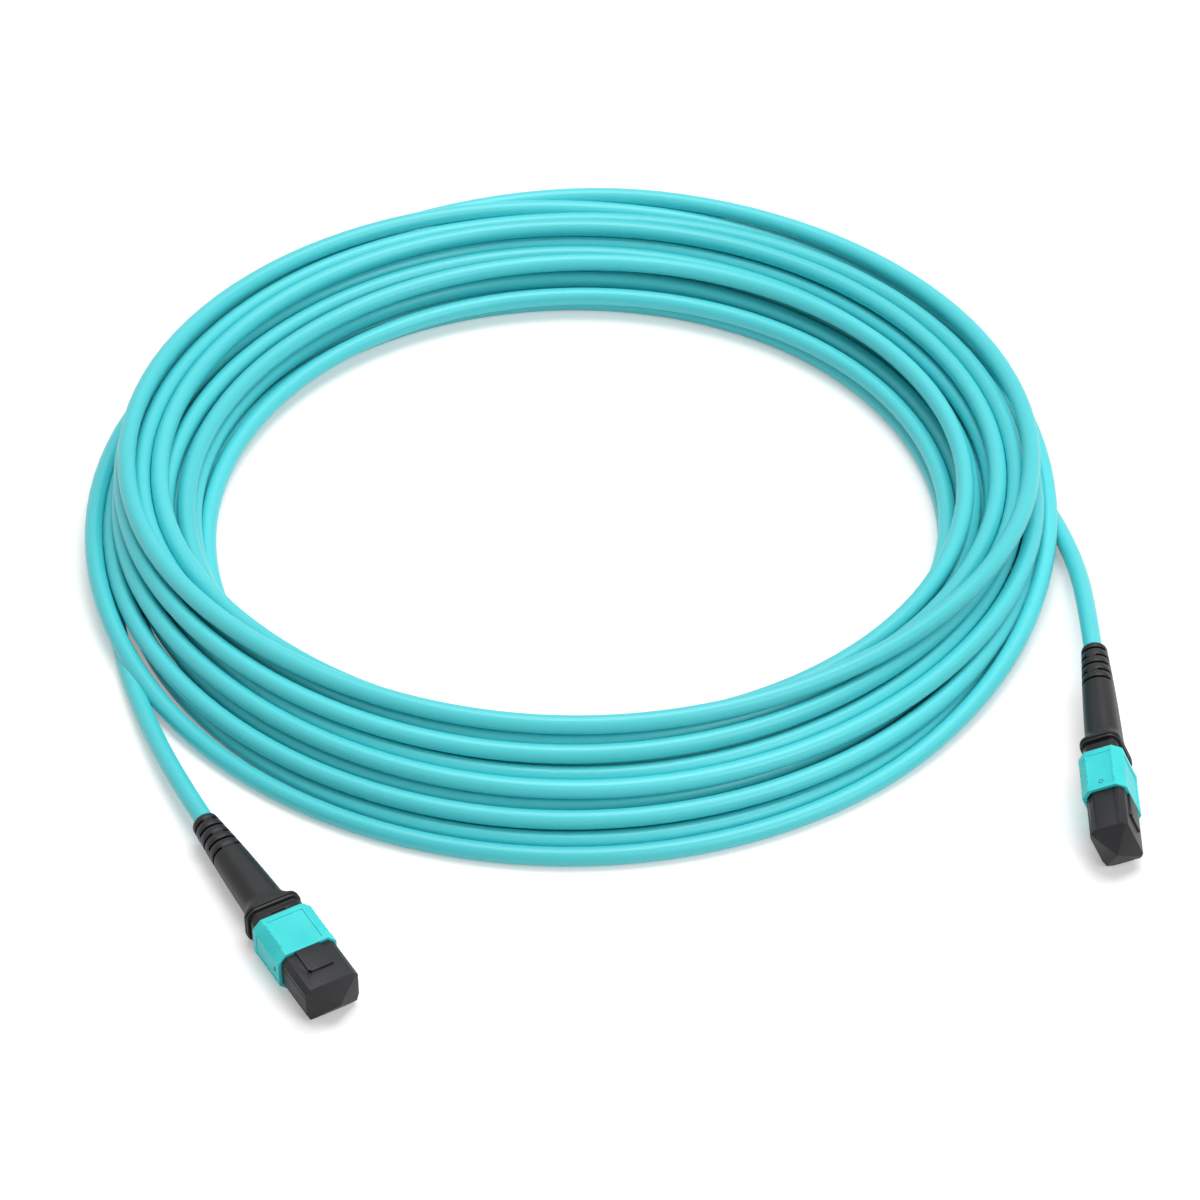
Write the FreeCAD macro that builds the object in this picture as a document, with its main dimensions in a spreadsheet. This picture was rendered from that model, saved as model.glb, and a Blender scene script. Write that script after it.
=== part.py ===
import FreeCAD, Part
import math
import os
import re
from collections import namedtuple
import Sketcher

# A coiled fibre patch cord with a push-pull multi-fibre plug on each end.
# Frame of the whole cord: origin at the centre of the coil's eye, on the surface it lies on, +Z up.
# Frame of a plug: +X is the mating direction, x = 0 the ferrule's end face, +Z the key side.
# Along a plug every station is a distance back from the ferrule's end face, so it lies at x = -station.

doc = FreeCAD.newDocument("FibrePatchCord")

SIZES = {
    # cord, millimetres
    "cable_diameter": 3.8,
    "coil_outer_radius": 100.5,
    "coil_inner_radius": 74.5,
    "coil_height": 17.5,
    "coil_chamfer": 4.0,
    # shared clearances
    "slide_gap": 0.1,
    "seat_gap": 0.05,
    "sleeve_travel": 1.9,
    "ferrule_travel": 0.6,
    # ferrule and what sits behind it
    "ferrule_width": 6.4,
    "ferrule_height": 2.5,
    "ferrule_length": 8.0,
    "shoulder_width": 7.2,
    "shoulder_height": 3.2,
    "shoulder_length": 2.0,
    "pin_bore_diameter": 0.7,
    "pin_pitch": 4.6,
    "ribbon_width": 3.1,
    "ribbon_thickness": 0.3,
    "ribbon_front": 2.8,
    "window_front": 2.4,
    "window_length": 2.2,
    "window_width": 3.0,
    "pocket_depth": 4.0,
    "pocket_width": 3.5,
    "pocket_height": 1.4,
    "ferrule_boot_length": 8.75,
    "spacer_length": 3.5,
    "pin_slot_width": 1.1,
    "spring_plate_height": 5.3,
    "spring_plate_thickness": 0.8,
    "ferrule_spring_wire": 0.5,
    "ferrule_spring_length": 4.2,
    "ferrule_spring_turns": 4,
    # inner housing
    "nose_setback": 0.8,
    "nose_length": 10.0,
    "nose_side_wall": 0.75,
    "nose_top_wall": 1.25,
    "key_width": 3.2,
    "key_setback": 2.5,
    "latch_front": 6.6,
    "latch_length": 2.0,
    "latch_depth": 0.45,
    "latch_height": 3.5,
    "collar_side_wall": 1.6,
    "collar_top_wall": 0.75,
    "collar_chamfer": 1.1,
    "groove_front": 11.6,
    "groove_length": 6.5,
    "groove_height": 1.9,
    "groove_floor": 0.45,
    "snap_width": 2.8,
    "snap_length": 1.2,
    "snap_setback": 1.5,
    # rear post and crimp ring
    "post_block_length": 3.6,
    "post_bore": 3.3,
    "post_wall": 0.65,
    "post_tail": 0.8,
    "knurl_depth": 0.15,
    "knurl_width": 0.6,
    "knurl_pitch": 2.8,
    "knurl_count": 2,
    "crimp_setback": 1.6,
    "crimp_length": 7.5,
    "crimp_wall": 0.55,
    # coupling sleeve
    "sleeve_length": 10.4,
    "sleeve_side_wall": 0.7,
    "sleeve_top_wall": 0.9,
    "sleeve_chamfer": 1.7,
    "sleeve_stop_gap": 0.4,
    "tab_length": 1.0,
    "panel_depth": 0.18,
    "panel_rear_rim": 1.2,
    "panel_front_rim": 0.9,
    "panel_side_rim": 0.7,
    "side_panel_depth": 0.12,
    "side_panel_rim": 0.35,
    "tooth_count": 5,
    "tooth_pitch": 1.4,
    "tooth_depth": 0.26,
    "tooth_front": 2.2,
    "coupling_spring_wire": 0.2,
    "coupling_spring_turns": 6,
    # dust cap
    "cap_wall": 0.9,
    "cap_chamfer": 1.0,
    "cap_reach": 2.3,
    "cap_point": 2.0,
    "cap_floor": 1.0,
    "cap_flat_width": 0.6,
    "cap_flat_height": 0.3,
    "key_cover_width": 5.0,
    "key_cover_length": 5.8,
    "key_cover_height": 0.45,
    "cover_notch": 0.8,
    "key_channel_gap": 0.15,
    "cap_line_width": 0.25,
    "cap_line_depth": 0.15,
    "cap_line_height": 2.2,
    # strain boot
    "boot_length": 30.6,
    "boot_side_wall": 1.65,
    "boot_top_wall": 1.05,
    "boot_tail_wall": 0.8,
    "flange_width": 11.4,
    "flange_height": 8.2,
    "flange_thickness": 1.3,
    "flange_corner": 2.2,
    "flange_groove_length": 0.4,
    "flange_groove_depth": 0.7,
    "flange_groove_width": 8.6,
    "lip_width": 11.2,
    "lip_thickness": 0.5,
    "flare_length": 4.6,
    "wing_height": 5.0,
    "slot_length": 0.55,
    "slot_pitch": 2.2,
    "slot_margin": 1.5,
    "slot_web": 1.8,
}

sheet = doc.addObject("Spreadsheet::Sheet", "Sizes")
for row, (name, number) in enumerate(SIZES.items(), 1):
    sheet.set("A%d" % row, name)
    sheet.set("B%d" % row, str(number))
    sheet.setAlias("B%d" % row, name)
doc.recompute()


def value(formula):
    """The number that a formula over the sheet's names gives."""
    return float(sheet.evalExpression(str(formula)))


def bound(formula):
    """The same formula written for an object outside the sheet."""
    return re.sub(r"[a-z][a-z_]+", lambda word: ("Sizes." if word.group() in SIZES else "") + word.group(),
                  str(formula))


def join(*terms):
    return "(" + " + ".join("(%s)" % term for term in terms) + ")"


def less(formula, *terms):
    return "((%s) - (%s))" % (formula, ") - (".join(str(term) for term in terms))


def half(formula):
    return "((%s)/2)" % formula


def minus(formula):
    return "(-(%s))" % formula


# ---- sizes that follow from the sheet, each a formula ----

SHOULDER_FRONT = less("ferrule_length", "shoulder_length")
SPACER_FRONT = "ferrule_length"
PLATE_FRONT = join(SPACER_FRONT, "spacer_length")
SPRING_FRONT = join(PLATE_FRONT, "spring_plate_thickness")
POST_FRONT = join(SPRING_FRONT, "ferrule_spring_length")
HOUSING_REAR = join(POST_FRONT, "post_block_length")
COLLAR_FRONT = join("nose_setback", "nose_length")
CAVITY_WIDTH = join("shoulder_width", "2*slide_gap")
CAVITY_HEIGHT = join("shoulder_height", "2*slide_gap")
REAR_CAVITY_HEIGHT = join("spring_plate_height", "2*slide_gap")
REAR_CAVITY_FRONT = less(PLATE_FRONT, "2*slide_gap")
NOSE_WIDTH = join(CAVITY_WIDTH, "2*nose_side_wall")
NOSE_HEIGHT = join(CAVITY_HEIGHT, "2*nose_top_wall")
COLLAR_WIDTH = join(CAVITY_WIDTH, "2*collar_side_wall")
COLLAR_HEIGHT = join(REAR_CAVITY_HEIGHT, "2*collar_top_wall")
GROOVE_BOTTOM = join(half(CAVITY_WIDTH), "groove_floor")
GROOVE_REAR = join("groove_front", "groove_length")

SLEEVE_BORE_WIDTH = join(COLLAR_WIDTH, "2*slide_gap")
SLEEVE_BORE_HEIGHT = join(COLLAR_HEIGHT, "2*slide_gap")
SLEEVE_WIDTH = join(SLEEVE_BORE_WIDTH, "2*sleeve_side_wall")
SLEEVE_HEIGHT = join(SLEEVE_BORE_HEIGHT, "2*sleeve_top_wall")
SLEEVE_REAR = less(HOUSING_REAR, "sleeve_travel", "sleeve_stop_gap")
SLEEVE_FRONT = less(SLEEVE_REAR, "sleeve_length")
TAB_FRONT = join("groove_front", "seat_gap")
TAB_REAR = join(TAB_FRONT, "tab_length")
COUPLING_SPRING_WIDTH = less(half(SLEEVE_BORE_WIDTH), GROOVE_BOTTOM, "2*slide_gap")
COUPLING_SPRING_CENTRE = half(join(half(SLEEVE_BORE_WIDTH), GROOVE_BOTTOM))

CAP_REAR = less(SLEEVE_FRONT, "slide_gap")
CAP_BORE_WIDTH = join(NOSE_WIDTH, "2*slide_gap")
CAP_BORE_HEIGHT = join(NOSE_HEIGHT, "2*slide_gap")
CAP_WIDTH = join(CAP_BORE_WIDTH, "2*cap_wall")
CAP_HEIGHT = join(CAP_BORE_HEIGHT, "2*cap_wall")
KEY_CHANNEL_TOP = join(half(COLLAR_HEIGHT), "key_channel_gap")

POST_DIAMETER = join("post_bore", "2*post_wall")
CRIMP_FRONT = join(HOUSING_REAR, "crimp_setback")
CRIMP_BORE = join(POST_DIAMETER, "2*seat_gap")
CRIMP_DIAMETER = join(CRIMP_BORE, "2*crimp_wall")
CRIMP_REAR = join(CRIMP_FRONT, "crimp_length")
POST_REAR = join(CRIMP_REAR, "post_tail")

BOOT_BORE = join(CRIMP_DIAMETER, "2*seat_gap")
BOOT_STEP = join(POST_REAR, "3*slide_gap")
BOOT_TAIL = join(HOUSING_REAR, "boot_length")
NECK_WIDTH = join(BOOT_BORE, "2*boot_side_wall")
NECK_HEIGHT = join(BOOT_BORE, "2*boot_top_wall")
CABLE_BORE = join("cable_diameter", "2*slide_gap")
TAIL_DIAMETER = join(CABLE_BORE, "2*boot_tail_wall")
SLOT_REAR = less(BOOT_TAIL, "slot_margin")
SLOTS_FRONT = less(SLOT_REAR, "4*slot_pitch", "slot_length")
LIP_FRONT = join(HOUSING_REAR, "flange_thickness", "flange_groove_length")
FLARE_FRONT = join(LIP_FRONT, "lip_thickness")
FLARE_REAR = join(FLARE_FRONT, "flare_length")
FLARE_STEP = join(half(less("lip_width", NECK_WIDTH)), "slide_gap")
FLARE_RADIUS = "(((flare_length)^2 + %s^2)/(2*%s))" % (FLARE_STEP, FLARE_STEP)
CABLE_START = join(BOOT_STEP, "2*slide_gap")


# ---- sketches and features of a body ----

Disc = namedtuple("Disc", "diameter across up", defaults=["0", "0"])


def box(y_low, y_high, z_low, z_high):
    return [(y_high, z_high), (y_low, z_high), (y_low, z_low), (y_high, z_low)]


def centred(width, height):
    return box(minus(half(width)), half(width), minus(half(height)), half(height))


def chamfered(width, height, chamfer):
    """An upright rectangle with its four corners cut at 45 degrees."""
    side, inner_side = half(width), less(half(width), chamfer)
    top, inner_top = half(height), less(half(height), chamfer)
    quarter = [(side, inner_top), (inner_side, top)]
    left = [(minus(y), z) for y, z in reversed(quarter)]
    below = [(minus(y), minus(z)) for y, z in quarter]
    right = [(y, minus(z)) for y, z in reversed(quarter)]
    return quarter + left + below + right


ROUND_SIDES = 20


def faceted_oval(width, height):
    """An oval drawn as equal turns of short flats, which tapers without a curved face."""
    step = 360 / ROUND_SIDES
    angles = [step * (number + 0.5) for number in range(ROUND_SIDES)]
    return [("%s*cos(%g)" % (half(width), angle), "%s*sin(%g)" % (half(height), angle)) for angle in angles]


def origin_feature(body, role):
    return next(feature for feature in body.Origin.OriginFeatures if feature.Role == role)


def fix(sketch, kind, geometry, point, formula):
    """Dimensions a point from the sketch's origin, or a radius, by a formula."""
    if kind == "Radius":
        index = sketch.addConstraint(Sketcher.Constraint(kind, geometry, value(formula)))
    else:
        index = sketch.addConstraint(Sketcher.Constraint(kind, -1, 1, geometry, point, value(formula)))
    sketch.setExpression("Constraints[%d]" % index, bound(formula))


def draw_polygon(sketch, corners):
    points = [FreeCAD.Vector(value(a), value(b), 0) for a, b in corners]
    first = sketch.GeometryCount
    for start, end in zip(points, points[1:] + points[:1]):
        sketch.addGeometry(Part.LineSegment(start, end))
    for number, (across, up) in enumerate(corners):
        following = (number + 1) % len(corners)
        sketch.addConstraint(Sketcher.Constraint("Coincident", first + number, 2, first + following, 1))
        fix(sketch, "DistanceX", first + number, 1, across)
        fix(sketch, "DistanceY", first + number, 1, up)


def draw_disc(sketch, disc):
    centre = FreeCAD.Vector(value(disc.across), value(disc.up), 0)
    index = sketch.addGeometry(Part.Circle(centre, FreeCAD.Vector(0, 0, 1), value(disc.diameter) / 2))
    fix(sketch, "DistanceX", index, 3, disc.across)
    fix(sketch, "DistanceY", index, 3, disc.up)
    fix(sketch, "Radius", index, 0, half(disc.diameter))


def new_sketch(body, name, loops, station="0", plane="YZ_Plane"):
    sketch = body.newObject("Sketcher::SketchObject", body.Label + "_" + name)
    sketch.AttachmentSupport = [(origin_feature(body, plane), "")]
    sketch.MapMode = "FlatFace"
    sketch.setExpression("AttachmentOffset.Base.z", bound(minus(station)))
    for loop in loops:
        if isinstance(loop, Disc):
            draw_disc(sketch, loop)
        else:
            draw_polygon(sketch, loop)
    return sketch


def new_feature(body, kind, name, sketch):
    feature = body.newObject("PartDesign::" + kind, body.Label + "_" + name)
    feature.Profile = sketch
    return feature


def add(body, name, loops, front, length):
    """Material with this section, from the front station back over the length."""
    pad = new_feature(body, "Pad", name, new_sketch(body, name + "_sketch", loops, front))
    pad.Reversed = True
    pad.setExpression("Length", bound(length))
    return pad


def cut(body, name, loops, front, length):
    """An opening with this section, from the front station back over the length."""
    pocket = new_feature(body, "Pocket", name, new_sketch(body, name + "_sketch", loops, front))
    pocket.setExpression("Length", bound(length))
    return pocket


def repeat(body, feature, name, count, pitch):
    """Repeats a feature towards the tail."""
    pattern = body.newObject("PartDesign::LinearPattern", body.Label + "_" + name)
    pattern.Originals = [feature]
    pattern.Direction = (origin_feature(body, "X_Axis"), [""])
    pattern.Reversed = True
    pattern.Mode = "Spacing"
    pattern.setExpression("Offset", bound(pitch))
    pattern.setExpression("Occurrences", bound(count))
    body.Tip = pattern
    return pattern


def loft(body, name, sections):
    """Straight-sided blend of sections, each a (station, loop) pair."""
    sketches = [new_sketch(body, "%s_%d" % (name, number), [loop], station)
                for number, (station, loop) in enumerate(sections)]
    feature = new_feature(body, "AdditiveLoft", name, sketches[0])
    feature.Sections = sketches[1:]
    feature.Ruled = True


def across_cut(body, name, plane, loops, through):
    """An opening whose outline lies in a plane through the axis, cut to both sides of it."""
    pocket = new_feature(body, "Pocket", name, new_sketch(body, name + "_sketch", loops, plane=plane))
    pocket.SideType = "Symmetric"
    pocket.setExpression("Length", bound(through))
    return pocket


def fillet_long_edges(body, feature, name, radius):
    """Rounds the edges of a prism that run along the plug."""
    doc.recompute()
    names = []
    for number, edge in enumerate(feature.Shape.Edges, 1):
        along = edge.Vertexes[1].Point - edge.Vertexes[0].Point
        if abs(along.y) + abs(along.z) < 1e-6 and along.Length > 1e-6:
            names.append("Edge%d" % number)
    fillet = body.newObject("PartDesign::Fillet", body.Label + "_" + name)
    fillet.Base = (feature, names)
    fillet.setExpression("Radius", bound(radius))
    return fillet


# ---- where the two plugs lie ----

# Each placement is the ferrule end face's centre, then yaw, pitch and roll in degrees.
# Plug A lies flat with its key up. Plug B is rolled onto its side, its nose resting on the surface.
PLUGS = {
    "a": FreeCAD.Placement(FreeCAD.Vector(-44.92, -135.1, 4.5), FreeCAD.Rotation(-59.3, 0, 0)),
    "b": FreeCAD.Placement(FreeCAD.Vector(103.98, -97.05, 6.41), FreeCAD.Rotation(-90.7, 2.5, -66)),
}


def new_body(name, plug):
    label = name + "_" + plug
    body = doc.addObject("PartDesign::Body", label)
    body.Label = label
    body.Placement = PLUGS[plug]
    return body


# ---- the pieces of a plug ----

def mt_ferrule(plug):
    """Rectangular ferrule: two guide-pin bores, a rear pocket and a window over the fibres."""
    body = new_body("mt_ferrule", plug)
    add(body, "front", [centred("ferrule_width", "ferrule_height")], "0", "ferrule_length")
    add(body, "shoulder", [centred("shoulder_width", "shoulder_height")], SHOULDER_FRONT, "shoulder_length")
    cut(body, "pocket", [centred("pocket_width", "pocket_height")],
        less("ferrule_length", "pocket_depth"), "pocket_depth")
    cut(body, "slot", [centred(join("ribbon_width", "seat_gap"), join("ribbon_thickness", "seat_gap"))],
        less("ribbon_front", "seat_gap"), less("ferrule_length", "ribbon_front"))
    cut(body, "window", [box(minus(half("window_width")), half("window_width"), "0", "ferrule_height")],
        "window_front", "window_length")
    bore = cut(body, "pin_bore", [Disc("pin_bore_diameter", "pin_pitch/2")], "0", "ferrule_length")
    mirrored = body.newObject("PartDesign::Mirrored", body.Label + "_pin_bores")
    mirrored.Originals = [bore]
    mirrored.MirrorPlane = (origin_feature(body, "XZ_Plane"), [""])
    body.Tip = mirrored
    return body


def ferrule_boot(plug):
    """Soft sleeve round the ribbon where it enters the ferrule."""
    body = new_body("ferrule_boot", plug)
    front = join(less("ferrule_length", "pocket_depth"), "seat_gap")
    outer = centred(less("pocket_width", "2*seat_gap"), less("pocket_height", "2*seat_gap"))
    inner = centred(join("ribbon_width", "seat_gap"), join("ribbon_thickness", "seat_gap"))
    add(body, "sleeve", [outer, inner], front, "ferrule_boot_length")
    return body


def ferrule_spacer(plug):
    """Pin keeper behind the ferrule, with a slot for each pin's tail and the plate its spring pushes on."""
    body = new_body("ferrule_spacer", plug)
    add(body, "block", [centred("shoulder_width", "shoulder_height")], SPACER_FRONT, "spacer_length")
    plate = centred("shoulder_width", "spring_plate_height")
    add(body, "plate", [plate], PLATE_FRONT, "spring_plate_thickness")
    window = centred(join("pocket_width", "slide_gap"), join("pocket_height", "slide_gap"))
    cut(body, "window", [window], SPACER_FRONT, join("spacer_length", "spring_plate_thickness"))
    side, reach = less("pin_pitch/2", half("pin_slot_width")), half("shoulder_width")
    pin_slot = box(side, reach, minus(half("pin_slot_width")), half("pin_slot_width"))
    cut(body, "pin_slots", [pin_slot, mirror(pin_slot)], SPACER_FRONT, "spacer_length")
    return body


def fibre_ribbon(plug):
    body = new_body("fibre_ribbon", plug)
    length = less(CABLE_START, "ribbon_front", "ferrule_travel", "slide_gap")
    add(body, "ribbon", [centred("ribbon_width", "ribbon_thickness")], "ribbon_front", length)
    return body


def plug_housing(plug):
    """Inner housing: keyed nose with latch notches, and the collar that the sleeve slides on."""
    body = new_body("plug_housing", plug)
    add(body, "nose", [centred(NOSE_WIDTH, NOSE_HEIGHT)], "nose_setback", "nose_length")
    add(body, "collar", [chamfered(COLLAR_WIDTH, COLLAR_HEIGHT, "collar_chamfer")],
        COLLAR_FRONT, less(HOUSING_REAR, COLLAR_FRONT))
    key = box(minus(half("key_width")), half("key_width"), "0", half(COLLAR_HEIGHT))
    add(body, "key", [key], "key_setback", less(COLLAR_FRONT, "key_setback"))
    mouth = centred(join("ferrule_width", "2*slide_gap"), join("ferrule_height", "slide_gap"))
    cut(body, "mouth", [mouth], "nose_setback", less(SHOULDER_FRONT, "nose_setback"))
    cut(body, "cavity", [centred(CAVITY_WIDTH, CAVITY_HEIGHT)], SHOULDER_FRONT,
        less(HOUSING_REAR, SHOULDER_FRONT))
    cut(body, "rear_cavity", [centred(CAVITY_WIDTH, REAR_CAVITY_HEIGHT)], REAR_CAVITY_FRONT,
        less(HOUSING_REAR, REAR_CAVITY_FRONT))
    notch_floor = less(half(NOSE_WIDTH), "latch_depth")
    notch = box(notch_floor, half(NOSE_WIDTH), minus(half("latch_height")), half("latch_height"))
    cut(body, "latch_notches", [notch, mirror(notch)], "latch_front", "latch_length")
    groove = box(GROOVE_BOTTOM, half(COLLAR_WIDTH), minus(half("groove_height")), half("groove_height"))
    cut(body, "spring_grooves", [groove, mirror(groove)], "groove_front", "groove_length")
    window_side = join(half("snap_width"), "slide_gap")
    window = box(minus(window_side), window_side, minus(half(COLLAR_HEIGHT)), half(COLLAR_HEIGHT))
    cut(body, "snap_windows", [window], join(POST_FRONT, "snap_setback", minus("slide_gap")),
        join("snap_length", "2*slide_gap"))
    return body


def mirror(corners):
    """The same outline on the plug's other side."""
    return [(minus(across), up) for across, up in corners]


def rear_post(plug):
    """Push piece that closes the housing, with the knurled tube that the cable is crimped on."""
    body = new_body("rear_post", plug)
    add(body, "block", [centred("shoulder_width", "spring_plate_height")], POST_FRONT, "post_block_length")
    snap_height = less(COLLAR_HEIGHT, "4*slide_gap")
    add(body, "snaps", [centred("snap_width", snap_height)], join(POST_FRONT, "snap_setback"), "snap_length")
    add(body, "tube", [Disc(POST_DIAMETER)], HOUSING_REAR, less(POST_REAR, HOUSING_REAR))
    cut(body, "bore", [Disc("post_bore")], POST_FRONT, less(POST_REAR, POST_FRONT))
    ring = [Disc(POST_DIAMETER), Disc(less(POST_DIAMETER, "2*knurl_depth"))]
    knurl = cut(body, "knurl", ring, CRIMP_FRONT, "knurl_width")
    repeat(body, knurl, "knurls", "knurl_count", "knurl_pitch")
    return body


def crimp_ring(plug):
    body = new_body("crimp_ring", plug)
    add(body, "ring", [Disc(CRIMP_DIAMETER), Disc(CRIMP_BORE)], CRIMP_FRONT, "crimp_length")
    return body


def coupling_sleeve(plug):
    """Sliding sleeve: eight-sided shell, inward spring tabs, recessed panels and toothed corners."""
    body = new_body("coupling_sleeve", plug)
    outer = chamfered(SLEEVE_WIDTH, SLEEVE_HEIGHT, "sleeve_chamfer")
    inner = chamfered(SLEEVE_BORE_WIDTH, SLEEVE_BORE_HEIGHT, join("collar_chamfer", "slide_gap"))
    add(body, "shell", [outer, inner], SLEEVE_FRONT, "sleeve_length")
    tab_half = less(half("groove_height"), "slide_gap")
    tab = box(join(GROOVE_BOTTOM, "slide_gap"), half(SLEEVE_WIDTH), minus(tab_half), tab_half)
    add(body, "tabs", [tab, mirror(tab)], TAB_FRONT, "tab_length")
    panel_side = less(half(SLEEVE_WIDTH), "sleeve_chamfer", "panel_side_rim")
    panel_floor = less(half(SLEEVE_HEIGHT), "panel_depth")
    top_panel = box(minus(panel_side), panel_side, panel_floor, half(SLEEVE_HEIGHT))
    bottom_panel = [(across, minus(up)) for across, up in top_panel]
    cut(body, "panels", [top_panel, bottom_panel], join(SLEEVE_FRONT, "panel_front_rim"),
        less("sleeve_length", "panel_front_rim", "panel_rear_rim"))
    side_floor = less(half(SLEEVE_WIDTH), "side_panel_depth")
    side_top = less(half(SLEEVE_HEIGHT), "sleeve_chamfer", "side_panel_rim")
    side_panel = box(side_floor, half(SLEEVE_WIDTH), minus(side_top), side_top)
    cut(body, "side_panels", [side_panel, mirror(side_panel)], join(SLEEVE_FRONT, "panel_front_rim"),
        less("sleeve_length", "panel_front_rim", "panel_rear_rim"))
    for number, angle in enumerate((45, -45)):
        cut_teeth(body, "teeth_%d" % number, angle)
    return body


def cut_teeth(body, name, angle):
    """Saw-tooth grips across two opposite corners of the sleeve, one tooth repeated."""
    sketch = body.newObject("Sketcher::SketchObject", body.Label + "_" + name + "_sketch")
    sketch.AttachmentSupport = [(origin_feature(body, "XY_Plane"), "")]
    sketch.MapMode = "FlatFace"
    tilt = FreeCAD.Rotation(FreeCAD.Vector(1, 0, 0), angle)
    sketch.AttachmentOffset = FreeCAD.Placement(FreeCAD.Vector(), tilt)
    corner = "((%s + %s)/2 - sleeve_chamfer)/sqrt(2)" % (SLEEVE_WIDTH, SLEEVE_HEIGHT)
    floor = less(corner, "tooth_depth")
    front = minus(join(SLEEVE_FRONT, "tooth_front"))
    rear = less(front, "tooth_pitch")
    tooth = [(front, floor), (front, corner), (rear, corner)]
    draw_polygon(sketch, tooth)
    draw_polygon(sketch, [(along, minus(out)) for along, out in tooth])
    wedge = new_feature(body, "Pocket", name + "_wedge", sketch)
    wedge.SideType = "Symmetric"
    wedge.setExpression("Length", bound(SLEEVE_WIDTH))
    repeat(body, wedge, name, "tooth_count", "tooth_pitch")


def dust_cap(plug):
    """Cap over the nose: chamfered sides, faceted point, key channel under a raised cover."""
    body = new_body("dust_cap", plug)
    outline = chamfered(CAP_WIDTH, CAP_HEIGHT, "cap_chamfer")
    tip = join("cap_reach", "cap_point")
    add(body, "sides", [outline], minus(tip), join(CAP_REAR, tip))
    slope(body, "upper_slopes", "XZ_Plane", CAP_HEIGHT, "cap_flat_height", CAP_WIDTH)
    slope(body, "side_slopes", "XY_Plane", CAP_WIDTH, "cap_flat_width", CAP_HEIGHT)
    cover_top = join(half(CAP_HEIGHT), "key_cover_height")
    cover = box(minus(half("key_cover_width")), half("key_cover_width"), "0", cover_top)
    cover_front = less(CAP_REAR, "key_cover_length")
    add(body, "key_cover", [cover], cover_front, "key_cover_length")
    corner = minus(half("key_cover_width"))
    notch = box(less(corner, half("cover_notch")), join(corner, half("cover_notch")),
                less(half(CAP_HEIGHT), "cap_line_depth"), cover_top)
    cut(body, "cover_notch", [notch], less(cover_front, half("cover_notch")), "cover_notch")
    cavity_front = minus(less("cap_reach", "cap_floor"))
    cavity = centred(CAP_BORE_WIDTH, CAP_BORE_HEIGHT)
    cut(body, "cavity", [cavity], cavity_front, less(CAP_REAR, cavity_front))
    channel_side = join(half("key_width"), "key_channel_gap")
    channel = box(minus(channel_side), channel_side, "0", KEY_CHANNEL_TOP)
    channel_front = less("key_setback", "key_channel_gap")
    cut(body, "key_channel", [channel], channel_front, less(CAP_REAR, channel_front))
    line_floor = less(half(CAP_WIDTH), "cap_line_depth")
    line = box(line_floor, half(CAP_WIDTH), less("cap_line_height", "cap_line_width"), "cap_line_height")
    lines = [line, mirror(line)]
    lines += [[(across, minus(up)) for across, up in outline_of_line] for outline_of_line in lines]
    cut(body, "side_lines", lines, minus(tip), join(CAP_REAR, tip))
    return body


def slope(body, name, plane, size, flat, through):
    """Cuts the cap's two opposite sides down to the flat at its tip."""
    tip = join("cap_reach", "cap_point")
    wedge = [("cap_reach", half(size)), (tip, half(flat)), (tip, half(size))]
    across_cut(body, name, plane, [wedge, [(along, minus(out)) for along, out in wedge]], through)


def strain_boot(plug):
    """Boot: flange, flared wings, tapered barrel and staggered bend slots over the cable."""
    body = new_body("strain_boot", plug)
    add(body, "wings", [centred("lip_width", "wing_height")], FLARE_FRONT, "flare_length")
    hollow_up = join(half(NECK_WIDTH), FLARE_RADIUS)
    hollows = [Disc("2*" + FLARE_RADIUS, minus(FLARE_REAR), up) for up in (hollow_up, minus(hollow_up))]
    across_cut(body, "flare", "XY_Plane", hollows, "flange_height")
    flange = add(body, "flange", [centred("flange_width", "flange_height")], HOUSING_REAR,
                 less(FLARE_FRONT, HOUSING_REAR))
    fillet_long_edges(body, flange, "flange_round", "flange_corner")
    loft(body, "barrel", [(FLARE_FRONT, faceted_oval(NECK_WIDTH, NECK_HEIGHT)),
                          (BOOT_TAIL, faceted_oval(TAIL_DIAMETER, TAIL_DIAMETER))])
    groove_floor = less(half("flange_height"), "flange_groove_depth")
    groove_side = half("flange_groove_width")
    groove = box(minus(groove_side), groove_side, groove_floor, "flange_height")
    cut(body, "flange_groove", [groove, [(across, minus(up)) for across, up in groove]],
        join(HOUSING_REAR, "flange_thickness"), "flange_groove_length")
    cut(body, "crimp_bore", [Disc(BOOT_BORE)], HOUSING_REAR, less(BOOT_STEP, HOUSING_REAR))
    cut(body, "cable_bore", [Disc(CABLE_BORE)], BOOT_STEP, less(BOOT_TAIL, BOOT_STEP))
    web = half("slot_web")
    above = box(minus(NECK_WIDTH), NECK_WIDTH, web, NECK_WIDTH)
    below = [(across, minus(up)) for across, up in above]
    beside = [(up, across) for across, up in above]
    sideways = cut(body, "sideways_slot", [beside, mirror(beside)], SLOTS_FRONT, "slot_length")
    repeat(body, sideways, "sideways_slots", "3", "2*slot_pitch")
    upright = cut(body, "upright_slot", [above, below], join(SLOTS_FRONT, "slot_pitch"), "slot_length")
    repeat(body, upright, "upright_slots", "2", "2*slot_pitch")
    return body


# ---- springs, wound from short straight pieces of round-cornered wire ----

WIRE_SIDES = 4


def even_sided(centre, along, towards, width, sides):
    """A closed regular outline square to a direction, its corners on a circle of that width."""
    along = FreeCAD.Vector(along).normalize()
    outward = (towards - along * towards.dot(along)).normalize()
    across = along.cross(outward)
    corners = []
    for number in range(sides):
        angle = 2 * math.pi * number / sides
        corners.append(centre + (outward * math.cos(angle) + across * math.sin(angle)) * (width / 2))
    return Part.makePolygon(corners + corners[:1])


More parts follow.
